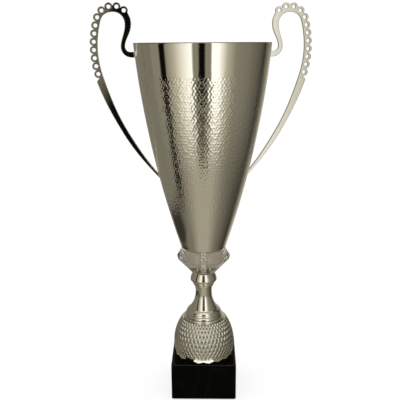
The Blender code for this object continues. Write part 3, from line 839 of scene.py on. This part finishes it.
class TROPHY_OT_stem(bpy.types.Operator):
    """Spin the flared neck and the round knop"""
    bl_idname = "trophy.stem"
    bl_label = "Neck and knop"

    def execute(self, context):
        look = context.scene.trophy_stem
        foot = context.scene.trophy_foot
        finish = plated_metal("stem_plating_finish", foot, clouds=90.0, haze=400.0)
        placed(self.neck(look, foot), finish, "plated_plastic", "stem_neck")
        placed(self.knop(look, foot), finish, "plated_plastic", "stem_knop")
        return {"FINISHED"}

    def neck(self, look, foot):
        """Neck with a ribbed lip, a flare and a seam under the knop."""
        rings = ring_profile("stem_neck")
        lip_bottom, lip_top, top = rings[0], rings[1], rings[-1]
        outline = [(foot.bore, lip_bottom[1]), (lip_bottom[0] - look.rib_depth, lip_bottom[1])]
        for rib in range(look.ribs):
            for k in range(RIB_STEPS):
                along = (rib + k / RIB_STEPS) / look.ribs
                swell = look.rib_depth * (math.sin(math.pi * k / RIB_STEPS) - 1.0)
                outline.append((lip_bottom[0] + (lip_top[0] - lip_bottom[0]) * along + swell,
                                lip_bottom[1] + (lip_top[1] - lip_bottom[1]) * along))
        outline.append((lip_top[0] - look.rib_depth, lip_top[1]))
        for radius, height in smooth_line(rings[1:], FLARE_STEPS)[1:-1]:
            along = (height - lip_top[1]) / look.roll
            swell = look.roll_depth * math.sin(math.pi * along) if along < 1.0 else 0.0
            outline.append((radius + swell, height))
        outline += [(top[0], top[1] - look.groove), (top[0] - look.groove, top[1]), (foot.bore, top[1])]
        return smooth(turned("flared_neck", outline, look.steps))

    def knop(self, look, foot):
        """A low bead on a small ring, with a groove under each, and the seat that the collar stands on."""
        rings = ring_profile("stem_knop")
        bottom, seat = rings[0][1], rings[-1][1]
        ring_top = bottom + look.ring
        outline = [(foot.bore, bottom), (look.bead_end - look.groove, bottom)]
        for k in range(1, BEAD_STEPS):
            part = k / BEAD_STEPS
            swell = look.ring_swell * math.sin(math.pi * part)
            outline.append((look.bead_end + swell, bottom + look.ring * part))
        outline.append((look.bead_end - look.groove, ring_top))
        for k in range(2 * BEAD_STEPS + 1):
            part = k / (2 * BEAD_STEPS)
            if part < look.belly:
                swell = 0.5 + 0.5 * math.sin(math.pi / 2 * part / look.belly)
            else:
                swell = math.cos(math.pi / 2 * (part - look.belly) / (1.0 - look.belly))
            outline.append((look.bead_end + look.bead_swell * swell, ring_top + (seat - ring_top) * part))
        outline.append((foot.bore, seat))
        return smooth(turned("round_knop", outline, look.steps))


class TROPHY_OT_collar(bpy.types.Operator):
    """Spin the clear collar and the beaded sleeve inside it"""
    bl_idname = "trophy.collar"
    bl_label = "Clear collar"

    def execute(self, context):
        look = context.scene.trophy_collar
        foot = context.scene.trophy_foot
        rings = ring_profile("crystal_collar")
        base, girdle_bottom, girdle_top, top = rings[0], rings[1], rings[2], rings[-1]
        sleeve_low, sleeve_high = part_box("collar_sleeve")
        bore = sleeve_high.y + SLEEVE_PLAY
        middle = (girdle_bottom[1] + girdle_top[1]) / 2
        outline = [(bore, base[1]), base]
        girdle = (girdle_bottom[0] - look.girdle_round, middle)
        outline += arc(girdle, look.girdle_round, *GIRDLE_ARC, ROUND_STEPS)
        outline += [top, (bore, top[1])]
        collar = turned("clear_collar", outline, FACET_STEPS * look.facets)
        self.facet(collar, middle, top, look)
        smooth(collar, FACET_ANGLE)
        placed(collar, clear_acrylic(look), "clear_collar", "crystal_collar")
        sleeve = self.sleeve(sleeve_low, sleeve_high, foot.bore, look)
        finish = plated_metal("sleeve_plating_finish", foot, clouds=200.0, haze=600.0)
        placed(sleeve, finish, "plated_plastic", "collar_sleeve")
        return {"FINISHED"}

    def facet(self, collar, middle, top, look):
        """Press flats into the crown and the girdle, with a ridge between them."""
        places, radii, angles = corners(collar)
        crown = (places[:, 2] > middle - look.girdle_round) & (radii > top[0] + look.facet_depth)
        around = angles / FULL_TURN * look.facets
        ridge = 2.0 * np.abs(around - np.floor(around) - 0.5)
        inward = 1.0 - look.facet_depth * (1.0 - ridge[crown]) / radii[crown]
        places[crown, :2] *= inward[:, None]
        move_corners(collar, places)

    def sleeve(self, low, high, bore, look):
        """A tube with staggered lumps all over it."""
        radius = high.y - look.lump_height
        pitch = (high.z - low.z) / look.lump_rows
        outline = [(bore, low.z)]
        outline += [(radius, low.z + k * pitch / LUMP_STEPS) for k in range(LUMP_STEPS * look.lump_rows + 1)]
        outline.append((bore, high.z))
        sleeve = turned("lumped_sleeve", outline, LUMP_STEPS * look.lumps_round)
        places, radii, angles = corners(sleeve)
        around = angles % FULL_TURN / FULL_TURN * look.lumps_round
        middle = staggered(around, (places[:, 2] - low.z) / pitch, look.lumps_round, 0.0, round_cell)
        rise = look.lump_height * np.maximum(1.0 - middle ** 2, 0.0)
        outwards = np.where(radii > (bore + radius) / 2, 1.0 + rise / radii, 1.0)
        places[:, :2] *= outwards[:, None]
        move_corners(sleeve, places)
        return smooth(sleeve, RELIEF_ANGLE)


class TROPHY_OT_block(bpy.types.Operator):
    """Round the marble block's edges and lay the felt under it"""
    bl_idname = "trophy.block"
    bl_label = "Marble block"

    def execute(self, context):
        look = context.scene.trophy_block
        block = rounded(copied("marble_block", "marble_base"), look.edge)
        placed(block, black_marble("black_marble_finish", look, look.gloss), "marble", "marble_base")
        block.data.materials.append(black_marble("marble_edge_finish", look, look.edge_gloss))
        for face in block.data.polygons:
            face.material_index = int(max(abs(part) for part in face.normal) < FLAT_SHARE)
        felt = rounded(copied("felt_sole", "felt_pad"), look.edge / 2)
        placed(felt, black_felt(look), "felt", "felt_pad")
        return {"FINISHED"}


class TROPHY_OT_fixings(bpy.types.Operator):
    """Thread the rod, and chamfer the nuts and washers"""
    bl_idname = "trophy.fixings"
    bl_label = "Rod, nuts and washers"

    def execute(self, context):
        look = context.scene.trophy_fixings
        finish = zinc_steel(look.tint)
        placed(self.rod(look), finish, "zinc_steel", "tie_rod")
        sides = [side + "_" + place for side in ("left", "right") for place in ("upper", "lower")]
        pairs = [("base_nut", "base_washer"), ("cup_nut", "cup_washer")]
        pairs += [("handle_nut_" + label, "handle_washer_" + label) for label in sides]
        for nut_node, washer_node in pairs:
            nut = rounded(copied("hex_" + nut_node, nut_node), look.chamfer)
            placed(nut, finish, "zinc_steel", nut_node)
            ring = rounded(copied("flat_" + washer_node, washer_node), look.washer_edge)
            placed(ring, finish, "zinc_steel", washer_node)
        return {"FINISHED"}

    def rod(self, look):
        """The rod with a ring of thread at each pitch and chamfered ends."""
        low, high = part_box("tie_rod")
        crest = high.y
        root = crest - look.thread_depth
        outline = [(0.0, low.z), (root - look.thread_depth, low.z)]
        turns = int((high.z - low.z) / look.thread) - 1
        for k in range(turns):
            height = low.z + (k + 0.5) * look.thread
            outline += [(root, height), (crest, height + look.thread / 2)]
        outline += [(root, high.z - look.thread_depth), (root - look.thread_depth, high.z), (0.0, high.z)]
        return smooth(turned("threaded_rod", outline, FIXING_STEPS))


# Studio light: the brightness of the cloths, from black flags to soft boxes
BLACK = 0.004
DARK = 0.04
LOW = 0.1
DIM = 0.2
GREY = 0.25
MIDDLE = 0.4
HALF = 0.5
FULL = 1.0
BRIGHT = 1.4
DIM_CLOTH = (1.13, 1.05, 0.82)
BRIGHT_CLOTH = (1.02, 1.02, 0.96)
# A soft box on each side of the camera's dark gap, a black flag on the left and a dim right side
WALL_PANELS = (
    (-170.0, HALF), (-150.0, DIM), (-73.0, GREY), (-71.0, BLACK), (-62.0, BLACK), (-60.0, GREY),
    (-45.0, HALF), (-30.0, FULL), (-16.0, BRIGHT), (-15.0, GREY), (-6.0, GREY), (-5.0, BLACK),
    (4.0, BLACK), (5.0, GREY), (14.0, GREY), (15.0, BRIGHT), (25.0, BRIGHT), (40.0, HALF),
    (55.0, GREY), (80.0, DIM), (110.0, LOW), (120.0, DARK), (140.0, GREY), (160.0, HALF),
)
FLOOR_PANELS = (
    (-170.0, DIM), (-55.0, DIM), (-20.0, MIDDLE), (20.0, MIDDLE), (55.0, DIM), (90.0, LOW),
    (120.0, DARK), (150.0, HALF),
)
CEILING_PANELS = ((-180.0, MIDDLE), (-70.0, MIDDLE), (-20.0, FULL), (20.0, FULL), (70.0, MIDDLE))
BACKDROP_PANELS = (
    (-180.0, GREY), (-60.0, GREY), (-15.0, BRIGHT), (-14.0, LOW), (14.0, LOW), (15.0, BRIGHT), (60.0, GREY),
)
# Dark sheets on the tent's floor: middle across and along, width, length, turn in degrees and brightness
FLOOR_SHEETS = (
    (-0.32, 0.16, 0.20, 0.60, 0.0, DARK),
    (-0.50, -0.21, 0.14, 0.46, -67.0, BLACK),
    (0.0, -0.61, 0.20, 0.34, 0.0, LOW),
)
SHEET_SOFTNESS = 2.2
# A grey strip at the front of the tent: its middle, size, brightness and how far out on the tent's radius
STRIP_ACROSS = -0.0605
STRIP_MIDDLE = 0.44
STRIP_SIZE = (0.049, 0.30)
STRIP_LEVEL = GREY
STRIP_SHARE = 0.985


def place_on_gradient(azimuth):
    """Place on a radial gradient of an azimuth in degrees, which grows from the front to the right."""
    return (0.25 + azimuth / 360.0) % 1.0


def cloth_light(level):
    """Colour of a glowing cloth: warm where it is dim and white where it is bright."""
    white = min(max((level - HALF) / (BRIGHT - HALF), 0.0), 1.0)
    return [level * (dim + (bright - dim) * white) for dim, bright in zip(DIM_CLOTH, BRIGHT_CLOTH)]


def panel_light(finish, panels):
    """Light that changes round the trophy, from (azimuth, brightness) stops."""
    radial = finish.node("TexGradient", {"Vector": finish.place}, gradient_type="RADIAL")
    blend = finish.node("ValToRGB", {"Fac": radial.outputs["Fac"]})
    stops = blend.color_ramp.elements
    while len(stops) < len(panels):
        stops.new(0.5)
    ordered = sorted((place_on_gradient(azimuth), level) for azimuth, level in panels)
    for stop, (position, level) in zip(stops, ordered):
        stop.position = position
        stop.color = (*cloth_light(level), 1.0)
    return blend.outputs["Color"]


def panel_material(name, panels, floor_panels=None, look=None):
    """A glowing cloth, whose panels may turn from the floor's near the trophy into others further out."""
    finish = Finish(name)
    light = panel_light(finish, panels)
    if floor_panels:
        flat = finish.node("VectorMath", {0: finish.place, 1: (1.0, 1.0, 0.0)}, operation="MULTIPLY")
        away = finish.node("VectorMath", {0: flat.outputs["Vector"]}, operation="LENGTH")
        parts = finish.node("SeparateXYZ", {"Vector": finish.place})
        way = finish.sums("ADD", away.outputs["Value"], parts.outputs["Z"])
        limits = {"From Min": look.fade_start, "From Max": look.fade_start + look.fade}
        fade = finish.node("MapRange", {"Value": way, **limits})
        light = finish.mix(fade.outputs["Result"], panel_light(finish, floor_panels), light)
    return finish.glowing(finish.node("Emission", {"Color": light}).outputs["Emission"])


def soft_sheet_material(level):
    """A dim sheet that thins out towards its edges."""
    finish = Finish("floor_sheet_glow")
    parts = finish.node("SeparateXYZ", {"Vector": finish.flat_place})
    thickness = []
    for side in ("X", "Y"):
        from_edge = finish.sums("PINGPONG", parts.outputs[side], 0.5)
        thickness.append(finish.sums("MULTIPLY", from_edge, 2.0 * SHEET_SOFTNESS, clamp=True))
    glow = finish.node("Emission", {"Color": (*cloth_light(level), 1.0)}).outputs["Emission"]
    clear = finish.node("BsdfTransparent").outputs["BSDF"]
    body = {"Fac": finish.sums("MULTIPLY", *thickness), 1: clear, 2: glow}
    return finish.glowing(finish.node("MixShader", body).outputs["Shader"])


class TROPHY_OT_stage(bpy.types.Operator):
    """Set up the pale floor, the soft light round the trophy and the camera"""
    bl_idname = "trophy.stage"
    bl_label = "Stage"

    def execute(self, context):
        look = context.scene.trophy_studio
        self.floor(look)
        self.tent(look)
        self.world(context.scene, look)
        self.camera(context.scene, look)
        context.scene.view_settings.view_transform = "Standard"
        return {"FINISHED"}

    def floor(self, look):
        """A wide pale sheet, lit a little from below, that the metal doesn't mirror."""
        deselect_all()
        bpy.ops.mesh.primitive_grid_add(x_subdivisions=4, y_subdivisions=4, size=look.floor)
        floor = added("studio_floor")
        finish = Finish("floor_finish")
        clouds = finish.noise(scale=3.0, detail=2.0)
        floor.data.materials.append(finish.painted({
            "Base Color": finish.ramp(clouds, look.floor_tint, toned(look.floor_tint, brightness=1.04)),
            "Emission Color": (1.0, 1.0, 1.0, 1.0),
            "Emission Strength": look.floor_glow,
            "Roughness": 0.9,
            "Specular IOR Level": 0.0,
        }))
        floor.visible_glossy = False
        floor.visible_transmission = False

    def tent(self, look):
        """A light tent for the metal to mirror, with dim sheets in it, and a backdrop for the acrylic."""
        cloth = self.drum("tent_cloth", look.tent, TENT_FLOOR, look.tent_top)
        cloth.data.materials.append(panel_material("tent_cloth_glow", WALL_PANELS, FLOOR_PANELS, look))
        ceiling = self.drum("tent_ceiling", look.tent, look.tent_top, look.tent_top - TENT_FLOOR)
        ceiling.data.materials.append(panel_material("tent_ceiling_glow", CEILING_PANELS))
        sheets = []
        for across, along, *size, degrees, level in FLOOR_SHEETS:
            rotation = (0.0, 0.0, math.radians(degrees))
            sheets.append(self.sheet("floor_sheet", (across, along, 0.0), rotation, size, level))
        sheets.append(self.sheet("front_strip", (STRIP_ACROSS, STRIP_SHARE * -look.tent, STRIP_MIDDLE),
                                 (math.pi / 2, 0.0, 0.0), STRIP_SIZE, STRIP_LEVEL))
        backdrop = self.drum("acrylic_backdrop", look.backdrop, TENT_FLOOR, look.tent_top)
        backdrop.data.materials.append(panel_material("acrylic_backdrop_glow", BACKDROP_PANELS))
        for part in [cloth, ceiling, backdrop] + sheets:
            part.visible_camera = False
            part.visible_diffuse = False
            part.visible_shadow = False
            part.visible_glossy = part is not backdrop
            part.visible_transmission = part in (backdrop, ceiling)

    def sheet(self, name, place, rotation, size, level):
        """A dim sheet with soft edges: one on the tent's floor, or the strip that the handles mirror."""
        deselect_all()
        bpy.ops.mesh.primitive_plane_add(size=1.0, location=place, rotation=rotation)
        bpy.context.object.scale = (*size, 1.0)
        sheet = added(name)
        sheet.data.materials.append(soft_sheet_material(level))
        return sheet

    def drum(self, name, radius, bottom, top):
        """A round wall with a disc across its lower edge."""
        deselect_all()
        bpy.ops.mesh.primitive_circle_add(vertices=DRUM_STEPS, radius=radius, fill_type="NGON",
                                          location=(0.0, 0.0, bottom))
        drum = added(name)
        with editing(drum, "EDGE"):
            bpy.ops.mesh.region_to_loop()
            bpy.ops.mesh.extrude_edges_move(TRANSFORM_OT_translate={"value": (0.0, 0.0, top - bottom)})
        return drum

    def world(self, scene, look):
        """Even white light from all round."""
        world = bpy.data.worlds.new("studio_light")
        world.use_nodes = True
        background = world.node_tree.nodes["Background"]
        background.inputs["Color"].default_value = (1.0, 1.0, 1.0, 1.0)
        background.inputs["Strength"].default_value = look.light
        scene.world = world

    def camera(self, scene, look):
        """The camera at the photograph's viewing angle."""
        view = bpy.data.cameras.new("studio_camera")
        view.lens = look.lens
        view.sensor_width = SENSOR_WIDTH
        view.clip_start = NEAR_CLIP
        camera = bpy.data.objects.new("studio_camera", view)
        facing = (Matrix.Rotation(look.pan, 4, "Z") @ Matrix.Rotation(math.pi / 2 - look.tilt, 4, "X")
                  @ Matrix.Rotation(look.roll, 4, "Z"))
        camera.matrix_world = Matrix.Translation(look.camera) @ facing
        scene.collection.objects.link(camera)
        scene.camera = camera


PIECES = (
    ("trophy_cup", CupLook, TROPHY_OT_cup),
    ("trophy_handles", HandleLook, TROPHY_OT_handles),
    ("trophy_foot", FootLook, TROPHY_OT_foot),
    ("trophy_stem", StemLook, TROPHY_OT_stem),
    ("trophy_collar", CollarLook, TROPHY_OT_collar),
    ("trophy_block", BlockLook, TROPHY_OT_block),
    ("trophy_fixings", FixingLook, TROPHY_OT_fixings),
    ("trophy_studio", StudioLook, TROPHY_OT_stage),
)


class TROPHY_PT_panel(bpy.types.Panel):
    """Lists the trophy's pieces and their settings"""
    bl_label = "Cup trophy"
    bl_idname = "TROPHY_PT_panel"
    bl_space_type = "VIEW_3D"
    bl_region_type = "UI"
    bl_category = "Trophy"

    def draw(self, context):
        for name, look, operator in PIECES:
            box = self.layout.box()
            box.operator(operator.bl_idname)
            settings = getattr(context.scene, name)
            for setting in look.__annotations__:
                box.prop(settings, setting, text=setting.replace("_", " ").capitalize())


def register():
    for name, look, operator in PIECES:
        bpy.utils.register_class(look)
        bpy.utils.register_class(operator)
        setattr(bpy.types.Scene, name, PointerProperty(type=look))
    bpy.utils.register_class(TROPHY_PT_panel)


def unregister():
    bpy.utils.unregister_class(TROPHY_PT_panel)
    for name, look, operator in reversed(PIECES):
        delattr(bpy.types.Scene, name)
        bpy.utils.unregister_class(operator)
        bpy.utils.unregister_class(look)


def main():
    register()
    bpy.ops.trophy.stage()
    bpy.ops.trophy.cup()
    bpy.ops.trophy.handles()
    bpy.ops.trophy.foot()
    bpy.ops.trophy.stem()
    bpy.ops.trophy.collar()
    bpy.ops.trophy.block()
    bpy.ops.trophy.fixings()


if __name__ == "__main__":
    main()
